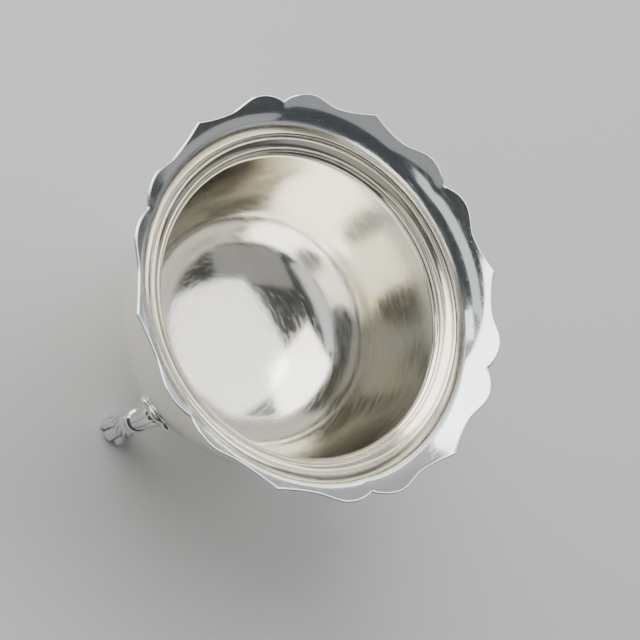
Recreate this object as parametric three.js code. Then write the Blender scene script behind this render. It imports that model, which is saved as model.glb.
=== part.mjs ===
// A small round silver bowl on three paw feet, as served with tea: a raised bowl with an upright wall,
// a shaped six-lobed border soldered to its turned-out lip, a reeded wire over that joint, and three
// feet, each a shell plate on the bowl, a short leg with a collar, and a paw with three toes.
// Millimetres, +Z up. The origin is on the bowl's axis, in the plane of the three soles.
import * as THREE from "three";

// Driving dimensions.
const TOTAL_HEIGHT = 85; // from the soles to the six points of the border
const NOTCH_RADIUS = 52; // from the axis to each of the border's six notches
const LOBES = 6;
const FEET = 3;
const FIRST_FOOT_ANGLE = -90; // degrees from +X
const JOINT_GAP = 0.3; // left between two pieces that are soldered together

// The border: a hollow moulding that opens outward to a thin shaped edge.
const POINT_RISE = 2.2; // how far the points stand outside the notches
const LOBE_RISE = 2.05; // the same for the round lobes
const TROUGH_RISE = 0.13; // the same for the troughs between lobe and point
const LOBE_ANGLE = 8.2; // degrees from a notch to the top of a lobe
const TROUGH_ANGLE = 18.5; // degrees from a notch to the bottom of a trough
const EDGE_SLOPE = 32; // degrees from level, at the edge
const FOOT_SLOPE = 71; // degrees from level, at the bottom of the moulding
const BORDER_FOOT_RADIUS = 46.1; // where the moulding's upper face meets the reeded wire
const BORDER_FOOT_THICKNESS = 1.2;
const BORDER_EDGE_THICKNESS = 0.8;
const BORDER_STEP = 3; // degrees between sections
const BORDER_ARC_PARTS = 4;

// The bowl.
const WALL = 1.0;
const WALL_RADIUS = 42.2; // outside, where the wall is upright
const LIP_OVERHANG = 0.4; // how far the turned-out lip passes the border's foot
const LIP_SLOPE = 32; // degrees from level
const NECK_TURN = 1.4; // size of the bend between wall and lip
const NECK_TURN_PARTS = 3;
const BELLY_HEIGHT = 63; // below this the wall turns in
const BOTTOM_HEIGHT = 22.3; // underside of the bowl, at the axis
const BELLY_PULL = 35; // how strongly the wall holds its upright course
const BOTTOM_PULL = 27; // how strongly the bottom holds its level course
const BOWL_CURVE_PARTS = 10;
const TURNED_SIDES = 54;

// The reeded wire: a broad reed between two narrow ones.
const WIRE_START = 0.95; // from the inside of the wall to the wire
const NARROW_REED = 0.8; // width
const GROOVE = 0.12; // width of the flat between two reeds
const REED_SINK = 0.3; // from the wire's foot to the bottom of its grooves
const REED_RELIEF = 0.7; // height of a reed above its grooves, as a share of half its width
const REED_PARTS = 3;

// The feet.
const KNEE_PLACE = 0.4; // where the plate sits along the curve of the bowl, 0 at the belly
const PLATE_WIDTH = 13.6;
const PLATE_HEIGHT = 15;
const PLATE_EDGE_THICKNESS = 0.8;
const PLATE_CROWN_THICKNESS = 2.0;
const PLATE_FLUTES = 7;
const FLUTE_DEPTH = 0.06; // as a share of the plate's size
const PLATE_SIDES = 28;
const LEG_RADIUS = 2.9;
const LEG_FLARE = 0.9; // how much thicker the leg is where it meets the plate
const LEG_STARTS_OUT = 3.2; // how strongly the leg sets off square to the bowl
const LEG_COMES_DOWN = 6; // how strongly it comes upright onto the paw
const COLLAR_RISE = 0.6; // how far the collar stands out of the leg
const COLLAR_PLACE = 0.82; // along the leg
const COLLAR_SHARE = 0.11; // half the collar's width, as a share of the leg
const LEG_RINGS = 12;
const LEG_SIDES = 14;
const PAW_SIDES = 30;
const SOLE_MIDDLE_RADIUS = 34.4; // from the bowl's axis
const TOE_SPREAD = 0.18; // how much broader the paw is in front than behind
const CLEFT_ANGLE = 30; // degrees from the middle of the front to the cleft beside the middle toe
const CLEFT_WIDTH = 12.5;
const CLEFT_DEPTH = 0.11; // as a share of the paw's size

// Sections of the paw, from the sole to the ankle: height, how far its middle stands outside the
// sole's, half its length and half its width.
const PAW_SECTIONS = [
  [0, 0, 3.5, 4.5],
  [0.8, 0.1, 3.9, 4.9],
  [2.7, 0.2, 4.1, 5.0],
  [4.9, 0.1, 3.8, 4.6],
  [7.6, 0.1, 3.3, 3.8],
  [11.2, 0.3, 3.0, 3.3],
  [14.4, 0.6, 2.9, 3.0],
  [17, 1.0, 2.8, 2.8],
];
const [ANKLE_HEIGHT, ANKLE_OUT] = PAW_SECTIONS.at(-1);

const SILVER = { color: 0xd9d8d2, metalness: 1 };
const polishedSilver = () => new THREE.MeshStandardMaterial({ ...SILVER, roughness: 0.08 });
const rubbedSilver = () => new THREE.MeshStandardMaterial({ ...SILVER, roughness: 0.14 });
const castSilver = () => new THREE.MeshStandardMaterial({ ...SILVER, roughness: 0.2 });

const { degToRad, lerp, euclideanModulo } = THREE.MathUtils;

// A point from its distance to the axis, its angle round it in radians and its height.
function onCylinder(radius, angle, height) {
  return new THREE.Vector3(radius * Math.cos(angle), radius * Math.sin(angle), height);
}

function middleOf(loop) {
  const sum = new THREE.Vector3();
  loop.forEach((point) => sum.add(point));
  return sum.divideScalar(loop.length);
}

// Joins loops of points into the skin of one closed solid. The loops are as long as each other;
// unless the last one meets the first, the two ends are closed with fans.
function skin(loops, meetsItself) {
  const count = loops[0].length;
  const points = loops.flat();
  const faces = [];
  const bands = meetsItself ? loops.length : loops.length - 1;
  for (let band = 0; band < bands; band += 1) {
    const here = band * count;
    const there = ((band + 1) % loops.length) * count;
    for (let i = 0; i < count; i += 1) {
      const j = (i + 1) % count;
      faces.push(here + i, here + j, there + j);
      faces.push(here + i, there + j, there + i);
    }
  }
  if (!meetsItself) {
    const last = (loops.length - 1) * count;
    const bottom = points.push(middleOf(loops[0])) - 1;
    const top = points.push(middleOf(loops.at(-1))) - 1;
    for (let i = 0; i < count; i += 1) {
      const j = (i + 1) % count;
      faces.push(bottom, j, i);
      faces.push(top, last + i, last + j);
    }
  }
  const geometry = new THREE.BufferGeometry().setFromPoints(points);
  geometry.setIndex(faces);
  geometry.computeVertexNormals();
  return geometry;
}

// A profile of (radius, height) points turned about +Z. It closes on itself or on the axis.
function turned(profile) {
  const geometry = new THREE.LatheGeometry(profile, TURNED_SIDES);
  geometry.rotateX(Math.PI / 2);
  return geometry;
}

// How far the border's edge stands from the axis. The outline repeats and mirrors in every lobe:
// from a sharp notch it swells to a round lobe, falls to a trough and sweeps out to a sharp point.
function edgeRadius(angle) {
  const pitch = 360 / LOBES;
  const turn = euclideanModulo(angle - pitch / 2, pitch);
  const fromNotch = Math.min(turn, pitch - turn);
  if (fromNotch <= LOBE_ANGLE) {
    return NOTCH_RADIUS + LOBE_RISE * (1 - (1 - fromNotch / LOBE_ANGLE) ** 2);
  }
  if (fromNotch <= TROUGH_ANGLE) {
    const fall = (fromNotch - LOBE_ANGLE) / (TROUGH_ANGLE - LOBE_ANGLE);
    return NOTCH_RADIUS + lerp(TROUGH_RISE, LOBE_RISE, 0.5 + 0.5 * Math.cos(Math.PI * fall));
  }
  const sweep = (fromNotch - TROUGH_ANGLE) / (pitch / 2 - TROUGH_ANGLE);
  return NOTCH_RADIUS + lerp(TROUGH_RISE, POINT_RISE, sweep ** 2);
}

const edgeSlope = degToRad(EDGE_SLOPE);
const footSlope = degToRad(FOOT_SLOPE);
const lipSlope = degToRad(LIP_SLOPE);
const notchHeight = TOTAL_HEIGHT - POINT_RISE * Math.tan(edgeSlope);
const borderArcRadius =
  (NOTCH_RADIUS - BORDER_FOOT_RADIUS) / (Math.sin(footSlope) - Math.sin(edgeSlope));

// A point of the border's upper face, where the face has the given slope, moved down by a depth.
function borderPoint(slope, depth) {
  const radius = NOTCH_RADIUS - borderArcRadius * (Math.sin(slope) - Math.sin(edgeSlope));
  const height = notchHeight - borderArcRadius * (Math.cos(edgeSlope) - Math.cos(slope));
  return new THREE.Vector2(radius + depth * Math.sin(slope), height - depth * Math.cos(slope));
}

// The border stands on the bowl's lip, which slopes up outward.
const borderHeel = borderPoint(footSlope, BORDER_FOOT_THICKNESS);
const borderSole = (radius) => borderHeel.y + Math.tan(lipSlope) * (radius - borderHeel.x);
const lipTop = (radius) => borderSole(radius) - JOINT_GAP;

function rimBorder() {
  const sections = [];
  for (let angle = 0; angle < 360; angle += BORDER_STEP) {
    const upper = [new THREE.Vector2(BORDER_FOOT_RADIUS, borderSole(BORDER_FOOT_RADIUS))];
    const lower = [];
    for (let part = 0; part <= BORDER_ARC_PARTS; part += 1) {
      const share = part / BORDER_ARC_PARTS;
      const slope = lerp(footSlope, edgeSlope, share);
      upper.push(borderPoint(slope, 0));
      lower.unshift(borderPoint(slope, lerp(BORDER_FOOT_THICKNESS, BORDER_EDGE_THICKNESS, share)));
    }
    const reach = edgeRadius(angle) - lower[0].x + BORDER_EDGE_THICKNESS * Math.sin(edgeSlope);
    const shelf = new THREE.Vector2(reach, reach * Math.tan(edgeSlope));
    upper.push(upper.at(-1).clone().add(shelf));
    lower.unshift(lower[0].clone().add(shelf));
    const outline = [...upper, ...lower];
    sections.push(outline.map((p) => onCylinder(p.x, degToRad(angle), p.y)));
  }
  return skin(sections, true);
}

const bowlCurve = new THREE.CubicBezierCurve(
  new THREE.Vector2(WALL_RADIUS, BELLY_HEIGHT),
  new THREE.Vector2(WALL_RADIUS, BELLY_HEIGHT - BELLY_PULL),
  new THREE.Vector2(BOTTOM_PULL, BOTTOM_HEIGHT),
  new THREE.Vector2(0, BOTTOM_HEIGHT),
);

// A point of the bowl's curved outside, moved out of the bowl by a distance, inward if negative.
function bowlPoint(place, distance) {
  const along = bowlCurve.getTangent(place);
  const outward = new THREE.Vector2(-along.y, along.x);
  return bowlCurve.getPoint(place).addScaledVector(outward, distance);
}

// The bend from the upright wall into the sloping lip, for one face of the sheet.
function neckTurn(wallRadius, heightOfLip) {
  const corner = new THREE.Vector2(wallRadius, heightOfLip(wallRadius));
  const below = corner.clone().setY(corner.y - NECK_TURN);
  const outside = wallRadius + NECK_TURN;
  const beyond = new THREE.Vector2(outside, heightOfLip(outside));
  return new THREE.QuadraticBezierCurve(below, corner, beyond).getPoints(NECK_TURN_PARTS);
}

function bowlBody() {
  const outside = [];
  const inside = [];
  for (let part = BOWL_CURVE_PARTS; part >= 0; part -= 1) {
    const place = part / BOWL_CURVE_PARTS;
    outside.push(bowlPoint(place, 0));
    inside.push(bowlPoint(place, -WALL));
  }
  const lipUnderside = (radius) => lipTop(radius) - WALL / Math.cos(lipSlope);
  const lipRadius = borderHeel.x + LIP_OVERHANG;
  outside.push(...neckTurn(WALL_RADIUS, lipUnderside));
  outside.push(new THREE.Vector2(lipRadius, lipUnderside(lipRadius)));
  inside.push(...neckTurn(WALL_RADIUS - WALL, lipTop));
  inside.push(new THREE.Vector2(lipRadius, lipTop(lipRadius)));
  return turned([...outside, ...inside.reverse()]);
}

function neckWire() {
  const start = WALL_RADIUS - WALL + WIRE_START;
  const end = BORDER_FOOT_RADIUS - JOINT_GAP;
  const profile = [new THREE.Vector2(end, borderSole(end)), new THREE.Vector2(start, borderSole(start))];
  const addReed = (from, width) => {
    for (let part = 0; part <= REED_PARTS; part += 1) {
      const angle = (Math.PI * part) / REED_PARTS;
      const radius = from + (width / 2) * (1 - Math.cos(angle));
      const relief = REED_RELIEF * (width / 2) * Math.sin(angle);
      profile.push(new THREE.Vector2(radius, borderSole(radius) + REED_SINK + relief));
    }
  };
  addReed(start, NARROW_REED);
  addReed(start + NARROW_REED + GROOVE, end - start - 2 * (NARROW_REED + GROOVE));
  addReed(end - NARROW_REED, NARROW_REED);
  profile.push(profile[0].clone());
  return turned(profile.reverse());
}

// A foot's plate, leg and paw are shaped where the foot stands straight out along +X.
const plateBack = JOINT_GAP;
const legStart = JOINT_GAP * 2 + PLATE_CROWN_THICKNESS;

// A loop of the shell plate, at a share of its size, lying at a distance outside the bowl.
function plateLoop(share, thicknessAt) {
  const stretch = bowlCurve.getPoint(KNEE_PLACE + 0.01).distanceTo(bowlCurve.getPoint(KNEE_PLACE)) / 0.01;
  const kneeRadius = bowlCurve.getPoint(KNEE_PLACE).x;
  const loop = [];
  for (let side = 0; side < PLATE_SIDES; side += 1) {
    const angle = (2 * Math.PI * side) / PLATE_SIDES;
    const reach = share * (1 - FLUTE_DEPTH * (0.5 + 0.5 * Math.cos(PLATE_FLUTES * angle)));
    const down = (reach * PLATE_HEIGHT * Math.cos(angle)) / 2;
    const across = (reach * PLATE_WIDTH * Math.sin(angle)) / 2;
    const point = bowlPoint(KNEE_PLACE + down / stretch, thicknessAt(share));
    loop.push(onCylinder(point.x, across / kneeRadius, point.y));
  }
  return loop;
}

function shellPlate() {
  const crown = PLATE_CROWN_THICKNESS - PLATE_EDGE_THICKNESS;
  const front = (share) => plateBack + PLATE_EDGE_THICKNESS + crown * (1 - share ** 2);
  const back = () => plateBack;
  return skin(
    [
      plateLoop(0.5, back),
      plateLoop(1, back),
      plateLoop(1, front),
      plateLoop(0.8, front),
      plateLoop(0.45, front),
    ],
    false,
  );
}

function leg() {
  const start = bowlPoint(KNEE_PLACE, legStart);
  const square = bowlPoint(KNEE_PLACE, legStart + LEG_STARTS_OUT);
  const end = new THREE.Vector2(SOLE_MIDDLE_RADIUS + ANKLE_OUT, ANKLE_HEIGHT + JOINT_GAP);
  const above = end.clone().setY(end.y + LEG_COMES_DOWN);
  const axis = new THREE.CubicBezierCurve(start, square, above, end);
  const loops = [];
  for (let ring = 0; ring <= LEG_RINGS; ring += 1) {
    const place = ring / LEG_RINGS;
    const flare = LEG_FLARE * Math.max(0, 1 - place * 3) ** 2;
    const collar = COLLAR_RISE * Math.max(0, 1 - ((place - COLLAR_PLACE) / COLLAR_SHARE) ** 2);
    const radius = LEG_RADIUS + flare + collar;
    const middle = axis.getPoint(place);
    const along = axis.getTangent(place);
    const loop = [];
    for (let side = 0; side < LEG_SIDES; side += 1) {
      const angle = (2 * Math.PI * side) / LEG_SIDES;
      const outward = radius * Math.cos(angle);
      const across = radius * Math.sin(angle);
      loop.push(new THREE.Vector3(middle.x - along.y * outward, across, middle.y + along.x * outward));
    }
    loops.push(loop.reverse());
  }
  return skin(loops, false);
}

// The paw's outline at one height. Two clefts part the three toes in front and fade out higher up.
function pawLoop([height, out, halfLength, halfWidth]) {
  const fade = 1 - height / ANKLE_HEIGHT;
  const loop = [];
  for (let side = 0; side < PAW_SIDES; side += 1) {
    const angle = (360 * side) / PAW_SIDES;
    const forward = Math.cos(degToRad(angle));
    const sideways = Math.sin(degToRad(angle)) * (1 + TOE_SPREAD * fade * forward);
    const cleft = Math.max(0, 1 - Math.abs(Math.min(angle, 360 - angle) - CLEFT_ANGLE) / CLEFT_WIDTH);
    const size = 1 - CLEFT_DEPTH * fade * cleft;
    const middle = SOLE_MIDDLE_RADIUS + out;
    loop.push(new THREE.Vector3(middle + size * halfLength * forward, size * halfWidth * sideways, height));
  }
  return loop;
}

const paw = () => skin(PAW_SECTIONS.map(pawLoop), false);

function named(name, geometry, material) {
  const mesh = new THREE.Mesh(geometry, material);
  mesh.name = name;
  return mesh;
}

const bowl = new THREE.Group();
bowl.add(named("bowl_body", bowlBody(), polishedSilver()));
bowl.add(named("rim_border", rimBorder(), rubbedSilver()));
bowl.add(named("neck_wire", neckWire(), polishedSilver()));
for (let number = 1; number <= FEET; number += 1) {
  const foot = new THREE.Group();
  foot.rotation.z = degToRad(FIRST_FOOT_ANGLE + ((number - 1) * 360) / FEET);
  foot.add(named(`shell_plate_${number}`, shellPlate(), castSilver()));
  foot.add(named(`leg_${number}`, leg(), castSilver()));
  foot.add(named(`paw_${number}`, paw(), castSilver()));
  bowl.add(foot);
}

export default bowl;
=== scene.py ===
"""A small silver bowl of a tea service, on three paw feet, with a shaped six-lobed border.

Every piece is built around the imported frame: it replaces the plainer solid of that part.
"""

from math import atan2, cos, degrees, exp, pi, radians, sin, sqrt, tan

import bpy
import numpy as np
from mathutils import Matrix, Vector, noise

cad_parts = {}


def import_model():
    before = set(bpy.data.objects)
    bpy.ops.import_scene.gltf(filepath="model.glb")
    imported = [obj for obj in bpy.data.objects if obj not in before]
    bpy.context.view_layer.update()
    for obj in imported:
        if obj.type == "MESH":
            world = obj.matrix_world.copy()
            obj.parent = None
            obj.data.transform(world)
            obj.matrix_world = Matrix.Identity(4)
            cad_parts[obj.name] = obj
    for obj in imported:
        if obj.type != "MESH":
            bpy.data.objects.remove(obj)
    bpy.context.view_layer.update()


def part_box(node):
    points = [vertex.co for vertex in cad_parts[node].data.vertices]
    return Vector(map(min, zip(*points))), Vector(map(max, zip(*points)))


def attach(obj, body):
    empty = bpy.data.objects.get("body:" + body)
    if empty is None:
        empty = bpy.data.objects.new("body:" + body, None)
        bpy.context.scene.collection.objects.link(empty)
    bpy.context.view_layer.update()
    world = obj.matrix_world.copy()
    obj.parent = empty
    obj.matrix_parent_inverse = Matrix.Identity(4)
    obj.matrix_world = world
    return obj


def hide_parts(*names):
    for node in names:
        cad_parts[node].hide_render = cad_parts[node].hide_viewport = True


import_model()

# Each box is a lowest and a highest corner.
POINT_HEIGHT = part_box("rim_border")[1].z
BOWL_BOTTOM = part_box("bowl_body")[0].z
ANKLE_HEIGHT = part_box("paw_1")[1].z

# The border's points stand 85 mm above the table, and every other size is given in such millimetres.
MM = POINT_HEIGHT / 85

# The border.
LOBES = 6
LOBE_PITCH = 360 / LOBES
NOTCH_RADIUS = 52 * MM
POINT_RISE = 2.2 * MM
LOBE_RISE = 2.05 * MM
TROUGH_RISE = 0.13 * MM
LOBE_ANGLE = 8.2
TROUGH_ANGLE = 18.5
EDGE_SLOPE = radians(32)
FOOT_SLOPE = radians(71)
BORDER_FOOT_RADIUS = 46.1 * MM
FOOT_THICKNESS = 1.2 * MM
EDGE_THICKNESS = 0.8 * MM
CREASE_DEPTH = 0.16 * MM
CREASE_ANGLE = 2.6
CREASE_START = 0.45
CREASE_RUN = 0.55
BORDER_SECTIONS = 720
BORDER_ARC_PARTS = 30
SHELF_PARTS = 8
EDGE_ROUND_PARTS = 6

# The bowl.
WALL = 1.0 * MM
WALL_RADIUS = 42.2 * MM
LIP_OVERHANG = 0.4 * MM
LIP_SLOPE = radians(32)
NECK_TURN = 1.4 * MM
BELLY_HEIGHT = 63 * MM
BELLY_PULL = 35 * MM
BOTTOM_PULL = 27 * MM
BOWL_SIDES = 360
BOWL_PARTS = 110
LAST_PLACE = 0.995
WALL_PARTS = 10
NECK_PARTS = 12

# The hand-raised surface is never quite even: broad soft hollows left by the hammer and the buff.
WAVE_DEPTH = 0.035 * MM
WAVE_SIZE = 13 * MM
WAVE_SEED = 7.3

# The reeded wire. A relief of 1 makes a reed's section a half circle, and a smaller one is flatter.
WIRE_START = 0.95 * MM
NARROW_REED = 0.8 * MM
GROOVE = 0.12 * MM
REED_SINK = 0.3 * MM
NARROW_RELIEF = 0.6
BROAD_RELIEF = 0.3
REED_PARTS = 16

# The feet.
FEET = 3
FIRST_FOOT_ANGLE = -90
KNEE_PLACE = 0.4
PLATE_WIDTH = 13.6 * MM
PLATE_HEIGHT = 15 * MM
PLATE_EDGE = 1.1 * MM
PLATE_CROWN = 2.0 * MM
PLATE_SINK = 0.1 * MM
PLATE_BACK_SHARES = (0.3, 0.7, 1.0)
PLATE_INNER_SHARE = 0.12
PLATE_FLUTES = 7
FLUTE_DEPTH = 0.06
FLUTE_RELIEF = 0.6 * MM
FLUTE_MIDDLE = 0.55
FLUTE_START = 0.25
FLUTE_RUN = 0.35
BEAD_RISE = 0.35 * MM
BEAD_PLACE = 0.9
BEAD_WIDTH = 0.05
PLATE_SIDES = 168
PLATE_RINGS = 26
LEG_RADIUS = 2.9 * MM
LEG_FLARE = 0.9 * MM
FLARE_FALL = 3
LEG_ROOT = 0.4 * MM
ANKLE_OVERLAP = 0.2 * MM
LEG_STARTS_OUT = 3.2 * MM
LEG_COMES_DOWN = 6 * MM
COLLAR_RISE = 0.75 * MM
COLLAR_PLACE = 0.82
COLLAR_SHARE = 0.09
GROOVE_SINK = 0.5 * MM
GROOVE_SHARE = 0.032
LEG_FACETS = 9
FACET_DEPTH = 0.22 * MM
FACET_FADE = 0.05
LEG_RINGS = 90
LEG_SIDES = 108
SOLE_MIDDLE = 34.4 * MM
ANKLE_OUT = 1.0 * MM
PAW_SIDES = 168
PAW_RINGS = 110

# The paw's clefts, as angles from its front in degrees: two beside the middle toe and two shallower
# ones behind the outer toes. From the ankle down they start after a delay and grow to the sole.
CLEFT_DEPTH = 0.27
FRONT_CLEFT = 27
FRONT_CLEFT_WIDTH = 8
REAR_CLEFT = 82
REAR_CLEFT_WIDTH = 9
REAR_CLEFT_SHARE = 0.7
CLEFT_GROWTH = 2.3
CLEFT_DELAY = 0.85
TOE_SPREAD = 0.18

# The fur: twisted tufts round the upper paw, as places and shares of the paw's height and reach.
FUR_TUFTS = 14
FUR_TWIST = 1.25
FUR_DEPTH = 0.05
FUR_PLACE = 0.66
FUR_RUN = 0.2


def lerp(a, b, share):
    return a + (b - a) * share


def smooth(share):
    share = min(1.0, max(0.0, share))
    return share * share * (3 - 2 * share)


def hill(value, middle, width):
    """1 where the value is at the middle, and almost 0 from twice the width away."""
    return exp(-(((value - middle) / width) ** 2))


def on_cylinder(radius, angle, height):
    """A point from its distance to the axis, its angle round it in radians and its height."""
    return (radius * cos(angle), radius * sin(angle), height)


def skin(name, loops, meets_itself=False):
    """Joins loops of points into one closed mesh.

    Unless the last loop meets the first, a fan closes each end.
    """
    count = len(loops[0])
    points = [p for loop in loops for p in loop]
    bands = len(loops) if meets_itself else len(loops) - 1
    faces = []
    for band in range(bands):
        here, there = band * count, ((band + 1) % len(loops)) * count
        for i in range(count):
            j = (i + 1) % count
            faces.append((here + i, here + j, there + j, there + i))
    if not meets_itself:
        last = (len(loops) - 1) * count
        bottom, top = len(points), len(points) + 1
        points.append(tuple(np.mean(loops[0], axis=0)))
        points.append(tuple(np.mean(loops[-1], axis=0)))
        for i in range(count):
            j = (i + 1) % count
            faces.append((bottom, j, i))
            faces.append((top, last + i, last + j))
    mesh = bpy.data.meshes.new(name)
    mesh.from_pydata(points, [], faces)
    mesh.update()
    mesh.shade_smooth()
    store_hollows(mesh)
    return mesh


def store_hollows(mesh):
    """Keeps how hollow the surface is at each point: 1 in a groove of 1 mm radius, -1 on such a ridge."""
    count = len(mesh.vertices)
    places = np.empty(count * 3)
    normals = np.empty(count * 3)
    ends = np.empty(len(mesh.edges) * 2, dtype=np.int64)
    mesh.vertices.foreach_get("co", places)
    mesh.vertex_normals.foreach_get("vector", normals)
    mesh.edges.foreach_get("vertices", ends)
    places, normals = places.reshape(-1, 3), normals.reshape(-1, 3)
    start, end = ends.reshape(-1, 2).T
    span = places[end] - places[start]
    squared = (span**2).sum(axis=1) + 1e-14
    bend_at_start = 2 * (normals[start] * span).sum(axis=1) / squared
    bend_at_end = -2 * (normals[end] * span).sum(axis=1) / squared
    total = np.bincount(start, bend_at_start, count) + np.bincount(end, bend_at_end, count)
    shares = np.bincount(start, minlength=count) + np.bincount(end, minlength=count)
    hollow = np.clip(total / np.maximum(shares, 1) * MM, -4, 4)
    attribute = mesh.attributes.new("hollow", "FLOAT", "POINT")
    attribute.data.foreach_set("value", hollow.astype(np.float32))


# ---------------------------------------------------------------- border


def angle_from_notch(angle):
    """Degrees between an angle and the nearest notch."""
    turn = (angle - LOBE_PITCH / 2) % LOBE_PITCH
    return min(turn, LOBE_PITCH - turn)


def edge_radius(angle):
    """How far the border's edge stands from the axis, at an angle in degrees.

    From a sharp notch it swells to a round lobe, falls to a trough and sweeps out to a sharp point.
    """
    from_notch = angle_from_notch(angle)
    if from_notch <= LOBE_ANGLE:
        return NOTCH_RADIUS + LOBE_RISE * (1 - (1 - from_notch / LOBE_ANGLE) ** 2)
    if from_notch <= TROUGH_ANGLE:
        fall = (from_notch - LOBE_ANGLE) / (TROUGH_ANGLE - LOBE_ANGLE)
        return NOTCH_RADIUS + lerp(TROUGH_RISE, LOBE_RISE, 0.5 + 0.5 * cos(pi * fall))
    sweep = (from_notch - TROUGH_ANGLE) / (LOBE_PITCH / 2 - TROUGH_ANGLE)
    return NOTCH_RADIUS + lerp(TROUGH_RISE, POINT_RISE, sweep**2)


NOTCH_HEIGHT = POINT_HEIGHT - POINT_RISE * tan(EDGE_SLOPE)
BORDER_ARC_RADIUS = (NOTCH_RADIUS - BORDER_FOOT_RADIUS) / (sin(FOOT_SLOPE) - sin(EDGE_SLOPE))


def border_point(slope, depth):
    """(radius, height) where the border's upper face has that slope, moved down by a depth."""
    radius = NOTCH_RADIUS - BORDER_ARC_RADIUS * (sin(slope) - sin(EDGE_SLOPE))
    height = NOTCH_HEIGHT - BORDER_ARC_RADIUS * (cos(EDGE_SLOPE) - cos(slope))
    return radius + depth * sin(slope), height - depth * cos(slope)


HEEL_RADIUS, HEEL_HEIGHT = border_point(FOOT_SLOPE, FOOT_THICKNESS)


def seat_height(radius):
    """Height of the sloping face on which the border and the wire are soldered to the bowl's lip."""
    return HEEL_HEIGHT + tan(LIP_SLOPE) * (radius - HEEL_RADIUS)


def border_section(angle):
    """The border's outline at an angle: its upper face outward, and its lower face back again."""
    crease = CREASE_DEPTH * hill(angle_from_notch(angle), 0, CREASE_ANGLE)
    reach = edge_radius(angle) - NOTCH_RADIUS
    upper = [(BORDER_FOOT_RADIUS, seat_height(BORDER_FOOT_RADIUS))]
    lower = [(HEEL_RADIUS, seat_height(HEEL_RADIUS))]
    for part in range(BORDER_ARC_PARTS + 1):
        share = part / BORDER_ARC_PARTS
        slope = lerp(FOOT_SLOPE, EDGE_SLOPE, share)
        thickness = lerp(FOOT_THICKNESS, EDGE_THICKNESS, share)
        sink = crease * smooth((share - CREASE_START) / CREASE_RUN)
        upper.append(border_point(slope, sink))
        lower.append(border_point(slope, thickness + sink))
    rounding = EDGE_THICKNESS / 2
    upper_radius, upper_height = upper[-1]
    lower_radius, lower_height = lower[-1]
    shelf = reach + rounding * sin(EDGE_SLOPE) - rounding * cos(EDGE_SLOPE)
    for part in range(1, SHELF_PARTS + 1):
        out = shelf * part / SHELF_PARTS
        upper.append((upper_radius + out, upper_height + out * tan(EDGE_SLOPE)))
        lower.append((lower_radius + out, lower_height + out * tan(EDGE_SLOPE)))
    middle_radius = (upper[-1][0] + lower[-1][0]) / 2
    middle_height = (upper[-1][1] + lower[-1][1]) / 2
    for part in range(1, EDGE_ROUND_PARTS):
        swing = pi / 2 - pi * part / EDGE_ROUND_PARTS + EDGE_SLOPE
        upper.append((middle_radius + rounding * cos(swing), middle_height + rounding * sin(swing)))
    return upper + lower[::-1]


def shaped_border():
    loops = []
    for step in range(BORDER_SECTIONS):
        angle = 360 * step / BORDER_SECTIONS
        loops.append([on_cylinder(r, radians(angle), z) for r, z in border_section(angle)])
    return skin("shaped_border", loops, meets_itself=True)


# ---------------------------------------------------------------- bowl


def bezier(points, place):
    """(point, direction) of a cubic Bezier curve in the plane."""
    a, b, c, d = (np.array(p) for p in points)
    rest = 1 - place
    point = rest**3 * a + 3 * rest**2 * place * b + 3 * rest * place**2 * c + place**3 * d
    along = rest**2 * (b - a) + 2 * rest * place * (c - b) + place**2 * (d - c)
    return point, along / np.linalg.norm(along)


BOWL_CURVE = (
    (WALL_RADIUS, BELLY_HEIGHT),
    (WALL_RADIUS, BELLY_HEIGHT - BELLY_PULL),
    (BOTTOM_PULL, BOWL_BOTTOM),
    (0.0, BOWL_BOTTOM),
)


def bowl_point(place, distance):
    """(radius, height) on the bowl's curved outside, moved out of the bowl by a distance."""
    point, along = bezier(BOWL_CURVE, place)
    return point + distance * np.array((-along[1], along[0]))


def neck_turn(wall_radius, lip_height):
    """The bend from the upright wall into the sloping lip, for one face of the sheet."""
    corner = np.array((wall_radius, lip_height(wall_radius)))
    below = corner - (0, NECK_TURN)
    outside = wall_radius + NECK_TURN
    beyond = np.array((outside, lip_height(outside)))
    turn = []
    for part in range(NECK_PARTS + 1):
        place = part / NECK_PARTS
        rest = 1 - place
        turn.append(rest**2 * below + 2 * rest * place * corner + place**2 * beyond)
    return turn


def bowl_profile():
    """The sheet's outline, from its underside near the axis, over the lip, to its inside near the axis.

    The curve stops just short of the axis, where the skin's fans close it.
    """
    outside, inside = [], []
    for part in range(BOWL_PARTS, -1, -1):
        place = min(part / BOWL_PARTS, LAST_PLACE)
        outside.append(bowl_point(place, 0))
        inside.append(bowl_point(place, -WALL))
    for part in range(1, WALL_PARTS):
        height = lerp(BELLY_HEIGHT, seat_height(WALL_RADIUS) - WALL - NECK_TURN, part / WALL_PARTS)
        outside.append(np.array((WALL_RADIUS, height)))
        inside.append(np.array((WALL_RADIUS - WALL, height)))
    lip_radius = HEEL_RADIUS + LIP_OVERHANG
    outside += neck_turn(WALL_RADIUS, lambda r: seat_height(r) - WALL / cos(LIP_SLOPE))
    inside += neck_turn(WALL_RADIUS - WALL, seat_height)
    outside.append(np.array((lip_radius, seat_height(lip_radius) - WALL / cos(LIP_SLOPE))))
    inside.append(np.array((lip_radius, seat_height(lip_radius))))
    return outside, inside[::-1]


def wave(radius, angle, height):
    """The unevenness of the surface, from -WAVE_DEPTH to WAVE_DEPTH."""
    place = Vector(on_cylinder(radius, angle, height)) / WAVE_SIZE
    return WAVE_DEPTH * noise.noise(place + Vector((WAVE_SEED, 0, 0)))


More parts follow.
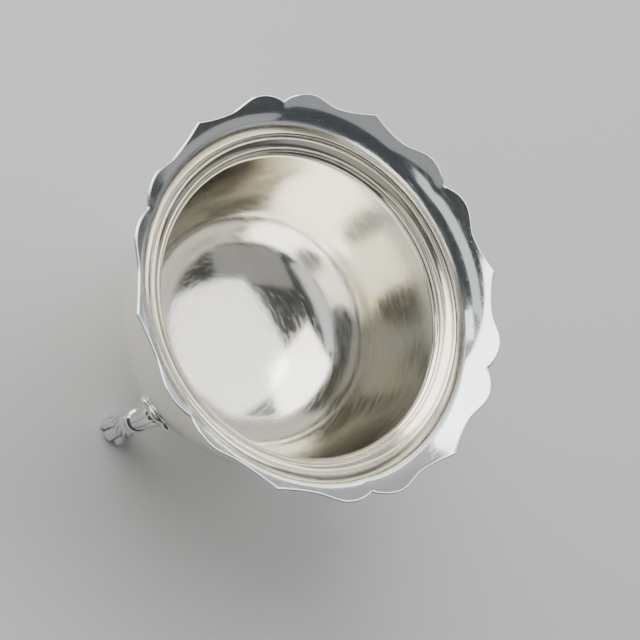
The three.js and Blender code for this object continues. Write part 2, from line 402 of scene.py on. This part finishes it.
def bowl_shell():
    outside, inside = bowl_profile()
    profile = outside + inside
    loops = []
    for index, (radius, height) in enumerate(profile):
        before = profile[max(index - 1, 0)]
        after = profile[min(index + 1, len(profile) - 1)]
        along = (after - before) / np.linalg.norm(after - before)
        loop = []
        for side in range(BOWL_SIDES):
            angle = 2 * pi * side / BOWL_SIDES
            out = wave(radius, angle, height)
            loop.append(on_cylinder(radius + along[1] * out, angle, height - along[0] * out))
        loops.append(loop)
    return skin("bowl_shell", loops)


def reeded_wire():
    start, end = WALL_RADIUS - WALL + WIRE_START, BORDER_FOOT_RADIUS
    section = [(end, seat_height(end)), (start, seat_height(start))]
    broad = end - start - 2 * (NARROW_REED + GROOVE)
    reeds = (
        (start, NARROW_REED, NARROW_RELIEF),
        (start + NARROW_REED + GROOVE, broad, BROAD_RELIEF),
        (end - NARROW_REED, NARROW_REED, NARROW_RELIEF),
    )
    for place, width, roundness in reeds:
        for part in range(REED_PARTS + 1):
            swing = pi * part / REED_PARTS
            radius = place + width / 2 * (1 - cos(swing))
            relief = roundness * width / 2 * sin(swing)
            section.append((radius, seat_height(radius) + REED_SINK + relief))
    loops = []
    for side in range(BOWL_SIDES):
        angle = -2 * pi * side / BOWL_SIDES
        loops.append([on_cylinder(r, angle, z) for r, z in section])
    return skin("reeded_wire", loops, meets_itself=True)


# ---------------------------------------------------------------- feet, each shaped as if along +X


def plate_loop(share, distance_at):
    """One ring of the shell plate, laid on the bowl's curve; share is its size against the whole plate."""
    step = 0.01
    before, after = bowl_point(KNEE_PLACE, 0), bowl_point(KNEE_PLACE + step, 0)
    stretch = np.linalg.norm(after - before) / step
    knee_radius = before[0]
    loop = []
    for side in range(PLATE_SIDES):
        angle = 2 * pi * side / PLATE_SIDES
        reach = share * (1 - FLUTE_DEPTH * (0.5 + 0.5 * cos(PLATE_FLUTES * angle)))
        down = reach * PLATE_HEIGHT * cos(angle) / 2
        across = reach * PLATE_WIDTH * sin(angle) / 2
        point = bowl_point(KNEE_PLACE + down / stretch, distance_at(share, angle))
        loop.append(on_cylinder(point[0], across / knee_radius, point[1]))
    return loop


def plate_front(share, angle):
    """How far the shell plate's front stands off the bowl: a crown, scalloped into flutes."""
    crown = PLATE_EDGE + (PLATE_CROWN - PLATE_EDGE) * (1 - share**2)
    ridge = abs(sin(PLATE_FLUTES * angle / 2)) - FLUTE_MIDDLE
    bead = BEAD_RISE * hill(share, BEAD_PLACE, BEAD_WIDTH)
    return crown + FLUTE_RELIEF * ridge * smooth((share - FLUTE_START) / FLUTE_RUN) + bead


def plate_back(share, angle):
    """The back is sunk evenly into the bowl, whatever the share and the angle."""
    return -PLATE_SINK


def shell_plate():
    loops = [plate_loop(share, plate_back) for share in PLATE_BACK_SHARES]
    for ring in range(PLATE_RINGS + 1):
        share = lerp(1.0, PLATE_INNER_SHARE, ring / PLATE_RINGS)
        loops.append(plate_loop(share, plate_front))
    return skin("shell_plate", loops)


def leg_radius(place, angle):
    """The short leg: a flare on the plate, a faceted drum, and a ring between two grooves."""
    flare = LEG_FLARE * max(0.0, 1 - place * FLARE_FALL) ** 2
    collar = COLLAR_RISE * sqrt(max(0.0, 1 - ((place - COLLAR_PLACE) / COLLAR_SHARE) ** 2))
    groove = 0.0
    for edge in (COLLAR_PLACE - COLLAR_SHARE, COLLAR_PLACE + COLLAR_SHARE):
        groove += GROOVE_SINK * hill(place, edge, GROOVE_SHARE)
    drum = smooth((COLLAR_PLACE - COLLAR_SHARE - place) / FACET_FADE)
    facet = FACET_DEPTH * abs(cos(LEG_FACETS * angle / 2)) * drum
    return LEG_RADIUS + flare + collar - groove + facet - FACET_DEPTH * drum


def leg():
    start = bowl_point(KNEE_PLACE, PLATE_CROWN - LEG_ROOT)
    square = bowl_point(KNEE_PLACE, PLATE_CROWN + LEG_STARTS_OUT)
    end = np.array((SOLE_MIDDLE + ANKLE_OUT, ANKLE_HEIGHT - ANKLE_OVERLAP))
    above = end + (0, LEG_COMES_DOWN)
    loops = []
    for ring in range(LEG_RINGS + 1):
        place = ring / LEG_RINGS
        middle, along = bezier((start, square, above, end), place)
        loop = []
        for side in range(LEG_SIDES):
            angle = -2 * pi * side / LEG_SIDES
            radius = leg_radius(place, angle)
            outward, across = radius * cos(angle), radius * sin(angle)
            loop.append((middle[0] - along[1] * outward, across, middle[1] + along[0] * outward))
        loops.append(loop)
    return skin("leg", loops)


# ---------------------------------------------------------------- paw

# Heights, distance of the middle outside the sole's, half length and half width, from sole to ankle.
PAW_SECTIONS = np.array(
    [
        (0.0, 0.0, 3.3, 4.3),
        (0.5, 0.1, 3.8, 4.6),
        (1.6, 0.2, 4.1, 4.9),
        (3.0, 0.2, 4.1, 4.9),
        (4.6, 0.1, 3.8, 4.5),
        (6.4, 0.1, 3.5, 4.0),
        (8.6, 0.2, 3.5, 3.8),
        (11.2, 0.4, 3.6, 3.8),
        (14.4, 0.8, 3.4, 3.5),
        (17.0, 1.0, 3.0, 3.0),
    ]
) * MM


def paw_body(height):
    """(distance of the middle outside the sole's, half length, half width) of the paw at a height."""
    heights = PAW_SECTIONS[:, 0]
    return [float(np.interp(height, heights, PAW_SECTIONS[:, column])) for column in (1, 2, 3)]


def paw_loop(height):
    out, half_length, half_width = paw_body(height)
    fade = 1 - height / ANKLE_HEIGHT
    loop = []
    for side in range(PAW_SIDES):
        angle = 2 * pi * side / PAW_SIDES
        turn = degrees(atan2(sin(angle), cos(angle)))
        cleft = hill(abs(turn), FRONT_CLEFT, FRONT_CLEFT_WIDTH)
        cleft += REAR_CLEFT_SHARE * hill(abs(turn), REAR_CLEFT, REAR_CLEFT_WIDTH)
        fur = sin(radians(turn) * FUR_TUFTS + FUR_TWIST * height / MM)
        reach = 1 - CLEFT_DEPTH * cleft * smooth(fade * CLEFT_GROWTH - CLEFT_DELAY)
        reach += FUR_DEPTH * fur * hill(height / ANKLE_HEIGHT, FUR_PLACE, FUR_RUN)
        spread = 1 + TOE_SPREAD * fade * cos(angle)
        loop.append((
            SOLE_MIDDLE + out + reach * half_length * cos(angle),
            reach * half_width * spread * sin(angle),
            height,
        ))
    return loop


def paw():
    loops = [paw_loop(lerp(0, ANKLE_HEIGHT, ring / PAW_RINGS)) for ring in range(PAW_RINGS + 1)]
    return skin("paw", loops)


# ---------------------------------------------------------------- materials


class Nodes:
    """Short calls for building one material. Lengths in its textures are in millimetres of the bowl."""

    def __init__(self, name):
        self.material = bpy.data.materials.new(name)
        self.material.use_nodes = True
        self.tree = self.material.node_tree
        self.shader = self.tree.nodes["Principled BSDF"]
        self.place = self.scaled(self.add("ShaderNodeTexCoord").outputs["Object"], 1 / MM)

    def add(self, kind, **settings):
        node = self.tree.nodes.new(kind)
        for name, value in settings.items():
            setattr(node, name, value)
        return node

    def feed(self, node, socket, value):
        """Links an output to a socket, or sets the socket to a plain value."""
        if isinstance(value, bpy.types.NodeSocket):
            self.tree.links.new(value, node.inputs[socket])
        else:
            node.inputs[socket].default_value = value

    def math(self, operation, first, second=0.0):
        node = self.add("ShaderNodeMath", operation=operation)
        self.feed(node, 0, first)
        self.feed(node, 1, second)
        return node.outputs[0]

    def scaled(self, vector, share):
        node = self.add("ShaderNodeVectorMath", operation="SCALE")
        self.feed(node, 0, vector)
        node.inputs["Scale"].default_value = share
        return node.outputs[0]

    def ramp(self, value, start, end, low=0.0, high=1.0):
        """Rises smoothly from low, where the value is start, to high, where it is end."""
        node = self.add("ShaderNodeMapRange", interpolation_type="SMOOTHSTEP")
        for socket, number in enumerate((value, start, end, low, high)):
            self.feed(node, socket, number)
        return node.outputs[0]

    def noise(self, vector, scale, detail=2.0):
        node = self.add("ShaderNodeTexNoise")
        self.feed(node, "Vector", vector)
        node.inputs["Scale"].default_value = scale
        node.inputs["Detail"].default_value = detail
        return node.outputs["Fac"]

    def mixed(self, share, first, second):
        node = self.add("ShaderNodeMix", data_type="RGBA")
        self.feed(node, "Factor", share)
        for socket, colour in zip(("A", "B"), (first, second)):
            slot = [i for i in node.inputs if i.name == socket and i.type == "RGBA"][0]
            if isinstance(colour, bpy.types.NodeSocket):
                self.tree.links.new(colour, slot)
            else:
                slot.default_value = (*colour, 1)
        return [o for o in node.outputs if o.type == "RGBA"][0]

    def turned(self, across):
        """Coordinates for marks that run round the axis: slow round it, and quick across the profile."""
        split = self.add("ShaderNodeSeparateXYZ")
        self.feed(split, 0, self.place)
        flat = self.add("ShaderNodeCombineXYZ")
        self.feed(flat, 0, split.outputs[0])
        self.feed(flat, 1, split.outputs[1])
        radius = self.add("ShaderNodeVectorMath", operation="LENGTH")
        self.feed(radius, 0, flat.outputs[0])
        unit = self.add("ShaderNodeVectorMath", operation="NORMALIZE")
        self.feed(unit, 0, flat.outputs[0])
        apart = self.add("ShaderNodeSeparateXYZ")
        self.feed(apart, 0, unit.outputs[0])
        profile = self.math("ADD", radius.outputs["Value"], split.outputs[2])
        joined = self.add("ShaderNodeCombineXYZ")
        self.feed(joined, 0, self.math("MULTIPLY", apart.outputs[0], 5.0))
        self.feed(joined, 1, self.math("MULTIPLY", apart.outputs[1], 5.0))
        self.feed(joined, 2, self.math("MULTIPLY", profile, across))
        return joined.outputs[0]

    def hairlines(self, turn, length, width, share):
        """1 on sparse fine scratches that run along one direction, and 0 elsewhere."""
        mapping = self.add("ShaderNodeMapping")
        self.feed(mapping, "Vector", self.place)
        mapping.inputs["Rotation"].default_value = turn
        mapping.inputs["Scale"].default_value = (1 / length, 1 / width, 1 / width)
        return self.ramp(self.noise(mapping.outputs[0], 1.0, 1.0), 1 - share, 1 - share + 0.06)

    def specks(self, spacing, size, share):
        """1 on small round pits and 0 elsewhere; only a share of the cells has one."""
        cells = self.add("ShaderNodeTexVoronoi")
        self.feed(cells, "Vector", self.place)
        cells.inputs["Scale"].default_value = 1 / spacing
        pit = self.ramp(cells.outputs["Distance"], size / spacing, 0.4 * size / spacing)
        split = self.add("ShaderNodeSeparateColor")
        self.feed(split, 0, cells.outputs["Color"])
        chosen = self.math("LESS_THAN", split.outputs[0], share)
        return self.math("MULTIPLY", pit, chosen)

    def bump(self, height, depth, normal=None):
        node = self.add("ShaderNodeBump")
        self.feed(node, "Height", height)
        node.inputs["Distance"].default_value = depth * MM
        if normal is not None:
            self.feed(node, "Normal", normal)
        return node.outputs[0]


CREAM_SILVER = (0.93, 0.87, 0.74)
COOL_SILVER = (0.82, 0.87, 0.9)
# The dark colour of patina and pits, and of the shade painted into hollows.
PATINA_AND_SHADE_COLOUR = (0.16, 0.14, 0.11)

# Patches and marks in the silver: sizes in millimetres, and how strongly each one shows.
CREAM_PATCH = 17
COOL_PATCH = 23
COOL_STRENGTH = 0.6
FINE_RINGS = 5.0
BROAD_RINGS = 0.8
PATINA_AND_SHADE_DETAIL = 0.9
DIMPLE_SIZE = 4.5
LONG_HAIR = (7.0, 0.28)
SHORT_HAIR = (5.0, 0.24)
HAIR_DULLNESS = 0.12
PIT_SPACING = 4.2
PIT_SIZE = 0.17
PIT_SHARE = 0.09
PIT_DARKNESS = 0.55
PATINA_SHADE_AND_PIT_DULLNESS = 0.3
MARK_DEPTH = 0.004


def silver(name, tone, cream, dullness, rub, scratch, patina_and_shade, dimples):
    """Polished silver with a history.

    tone is its clean colour, cream how far warm patches spread, dullness the roughness, rub the depth
    of the marks that run round the axis, scratch the share of hairlines, patina_and_shade how dark
    hollows are painted, as patina and painted shade together, and dimples the depth of the soft
    unevenness under the polish.
    """
    nodes = Nodes(name)
    cloud = nodes.noise(nodes.place, 1 / CREAM_PATCH, 3.0)
    warmth = nodes.ramp(cloud, 0.62 - cream, 0.85 - cream)
    coolness = nodes.ramp(nodes.noise(nodes.place, 1 / COOL_PATCH, 2.0), 0.5, 0.72)
    tone = nodes.mixed(warmth, tone, CREAM_SILVER)
    tone = nodes.mixed(nodes.math("MULTIPLY", coolness, COOL_STRENGTH), tone, COOL_SILVER)

    rings = nodes.noise(nodes.turned(FINE_RINGS), 1.0, 4.0)
    haze = nodes.noise(nodes.turned(BROAD_RINGS), 1.0, 5.0)
    lines = nodes.math(
        "MAXIMUM",
        nodes.hairlines((0.3, 0.5, 0.9), *LONG_HAIR, scratch),
        nodes.hairlines((1.2, 0.2, 2.3), *SHORT_HAIR, scratch * 0.96),
    )
    pits = nodes.specks(PIT_SPACING, PIT_SIZE, PIT_SHARE)
    # Hollows are darkened according to their curvature: partly patina, partly painted shade in creases,
    # grooves and clefts.
    hollow = nodes.add("ShaderNodeAttribute", attribute_name="hollow").outputs["Fac"]
    hollow_patina_and_shade = nodes.math("MULTIPLY", nodes.ramp(hollow, 0.08, 1.0), patina_and_shade)
    breakup = nodes.ramp(nodes.noise(nodes.place, PATINA_AND_SHADE_DETAIL, 4.0), 0.3, 0.7, low=0.55, high=1.0)
    hollow_patina_and_shade = nodes.math("MULTIPLY", hollow_patina_and_shade, breakup)
    patina_shade_and_pits = nodes.math("MAXIMUM", hollow_patina_and_shade, nodes.math("MULTIPLY", pits, PIT_DARKNESS))
    nodes.feed(nodes.shader, "Base Color", nodes.mixed(patina_shade_and_pits, tone, PATINA_AND_SHADE_COLOUR))

    rough = nodes.ramp(haze, 0.3, 0.75, low=dullness * 0.7, high=dullness * 1.5)
    rough = nodes.math("ADD", rough, nodes.math("MULTIPLY", lines, HAIR_DULLNESS))
    rough = nodes.math("ADD", rough, nodes.math("MULTIPLY", patina_shade_and_pits, PATINA_SHADE_AND_PIT_DULLNESS))
    nodes.feed(nodes.shader, "Roughness", rough)
    nodes.shader.inputs["Metallic"].default_value = 1

    normal = nodes.bump(nodes.noise(nodes.place, 1 / DIMPLE_SIZE, 2.0), dimples)
    normal = nodes.bump(rings, rub, normal)
    marks = nodes.math("SUBTRACT", nodes.math("MULTIPLY", lines, -0.5), pits)
    nodes.feed(nodes.shader, "Normal", nodes.bump(marks, MARK_DEPTH, normal))
    return nodes.material


def place_piece(name, mesh, material, node, turn=0.0):
    piece = bpy.data.objects.new(name, mesh)
    bpy.context.scene.collection.objects.link(piece)
    piece.rotation_euler.z = turn
    mesh.materials.clear()
    mesh.materials.append(material)
    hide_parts(node)
    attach(piece, "root")


BOWL_TONE = (0.92, 0.895, 0.81)
BORDER_TONE = (0.88, 0.905, 0.915)
WIRE_TONE = (0.94, 0.87, 0.71)
FOOT_TONE = (0.76, 0.755, 0.73)

bowl_silver = silver(
    "bowl_silver", BOWL_TONE,
    cream=0.16, dullness=0.14, rub=0.0014, scratch=0.3, patina_and_shade=0.3, dimples=0.02,
)
border_silver = silver(
    "border_silver", BORDER_TONE,
    cream=0.0, dullness=0.11, rub=0.0008, scratch=0.36, patina_and_shade=0.55, dimples=0.01,
)
wire_silver = silver(
    "wire_silver", WIRE_TONE,
    cream=0.3, dullness=0.17, rub=0.0002, scratch=0.22, patina_and_shade=0.55, dimples=0.003,
)
foot_silver = silver(
    "foot_silver", FOOT_TONE,
    cream=0.08, dullness=0.09, rub=0.0006, scratch=0.3, patina_and_shade=1.0, dimples=0.03,
)

place_piece("bowl_shell", bowl_shell(), bowl_silver, "bowl_body")
place_piece("shaped_border", shaped_border(), border_silver, "rim_border")
place_piece("reeded_wire", reeded_wire(), wire_silver, "neck_wire")
foot_parts = {"shell_plate": shell_plate(), "leg": leg(), "paw": paw()}
for number in range(1, FEET + 1):
    turn = radians(FIRST_FOOT_ANGLE + 360 / FEET * (number - 1))
    for part, mesh in foot_parts.items():
        place_piece(f"{part}_{number}_cast", mesh, foot_silver, f"{part}_{number}", turn)

# ---------------------------------------------------------------- camera, floor, light

CAMERA_AZIMUTH = -14.94
CAMERA_ELEVATION = 56.91
CAMERA_ROLL = 64.7
CAMERA_DISTANCE = 369.8 * MM
CAMERA_AIM = Vector((4.4, -5.3, 81.0)) * MM
CAMERA_LENS = 80.52
CAMERA_SENSOR = 36
CAMERA_SEES = (0.01, 30)


def camera():
    azimuth, elevation = radians(CAMERA_AZIMUTH), radians(CAMERA_ELEVATION)
    back = Vector((sin(azimuth) * cos(elevation), -cos(azimuth) * cos(elevation), sin(elevation)))
    level = (-back).to_track_quat("-Z", "Y").to_matrix()
    tilted = level @ Matrix.Rotation(radians(CAMERA_ROLL), 3, "Z")
    data = bpy.data.cameras.new("camera")
    data.sensor_width = CAMERA_SENSOR
    data.lens = CAMERA_LENS
    data.clip_start, data.clip_end = CAMERA_SEES
    made = bpy.data.objects.new("camera", data)
    made.matrix_world = Matrix.Translation(CAMERA_AIM + back * CAMERA_DISTANCE) @ tilted.to_4x4()
    bpy.context.scene.collection.objects.link(made)
    bpy.context.scene.camera = made


def softbox(name, azimuth, elevation, distance, width, height, power):
    """A large diffuse lamp that faces the bowl from an azimuth, counted from +X, and an elevation."""
    level = radians(azimuth)
    rise = radians(elevation)
    towards = Vector((cos(level) * cos(rise), sin(level) * cos(rise), sin(rise)))
    data = bpy.data.lights.new(name, "AREA")
    data.shape = "RECTANGLE"
    data.size, data.size_y = width, height
    data.energy = power
    lamp = bpy.data.objects.new(name, data)
    lamp.location = Vector((0, 0, NOTCH_HEIGHT)) + towards * distance
    lamp.rotation_mode = "QUATERNION"
    lamp.rotation_quaternion = towards.to_track_quat("Z", "Y")
    lamp.visible_camera = False
    bpy.context.scene.collection.objects.link(lamp)


FLOOR_REACH = 3.0
FLOOR_COLOUR = (0.55, 0.55, 0.545)
FLOOR_ROUGHNESS = 0.6


def floor():
    signs = ((-1, -1), (1, -1), (1, 1), (-1, 1))
    corners = [(x * FLOOR_REACH, y * FLOOR_REACH, 0) for x, y in signs]
    mesh = bpy.data.meshes.new("floor")
    mesh.from_pydata(corners, [], [(0, 1, 2, 3)])
    ground = bpy.data.objects.new("floor", mesh)
    bpy.context.scene.collection.objects.link(ground)
    material = bpy.data.materials.new("floor_paint")
    material.use_nodes = True
    shader = material.node_tree.nodes["Principled BSDF"]
    shader.inputs["Base Color"].default_value = (*FLOOR_COLOUR, 1)
    shader.inputs["Roughness"].default_value = FLOOR_ROUGHNESS
    mesh.materials.append(material)


ROOM_BRIGHT_SIDE = (-0.75, 0.62, -0.2)
ROOM_DIM = (0.07, 0.074, 0.076)
ROOM_GLOW = (0.62, 0.62, 0.6)
ROOM_SEEN = (0.75, 0.75, 0.75)


def world():
    """A pale room to the eye. In reflections it is dim, and brighter towards the lamps' side."""
    sky = bpy.data.worlds.new("studio")
    sky.use_nodes = True
    tree = sky.node_tree
    direction = tree.nodes.new("ShaderNodeTexCoord")
    along = tree.nodes.new("ShaderNodeVectorMath")
    along.operation = "DOT_PRODUCT"
    along.inputs[1].default_value = Vector(ROOM_BRIGHT_SIDE).normalized()
    shade = tree.nodes.new("ShaderNodeValToRGB")
    shade.color_ramp.elements[0].color = (*ROOM_DIM, 1)
    shade.color_ramp.elements[1].color = (*ROOM_GLOW, 1)
    reflected = tree.nodes["Background"]
    seen = tree.nodes.new("ShaderNodeBackground")
    seen.inputs["Color"].default_value = (*ROOM_SEEN, 1)
    path = tree.nodes.new("ShaderNodeLightPath")
    either = tree.nodes.new("ShaderNodeMixShader")
    tree.links.new(direction.outputs["Generated"], along.inputs[0])
    tree.links.new(along.outputs["Value"], shade.inputs[0])
    tree.links.new(shade.outputs[0], reflected.inputs["Color"])
    tree.links.new(path.outputs["Is Camera Ray"], either.inputs[0])
    tree.links.new(reflected.outputs[0], either.inputs[1])
    tree.links.new(seen.outputs[0], either.inputs[2])
    tree.links.new(either.outputs[0], tree.nodes["World Output"].inputs["Surface"])
    bpy.context.scene.world = sky


# Name, azimuth and elevation in degrees, distance, width and height in metres, and power in watts.
LAMPS = (
    ("left_box", 168, 42, 1.1, 1.04, 1.6, 20),
    ("far_box", 80, 46, 1.2, 0.95, 1.6, 10),
    ("low_strip", 207, 10, 1.1, 0.3, 0.5, 1.0),
    ("near_card", 250, 40, 1.1, 1.5, 0.42, 1.7),
    ("right_card", 340, 56, 1.1, 1.0, 0.75, 0.65),
    ("right_strip", 28, 9, 1.1, 0.9, 0.4, 0.35),
)

camera()
floor()
world()
for lamp in LAMPS:
    softbox(*lamp)
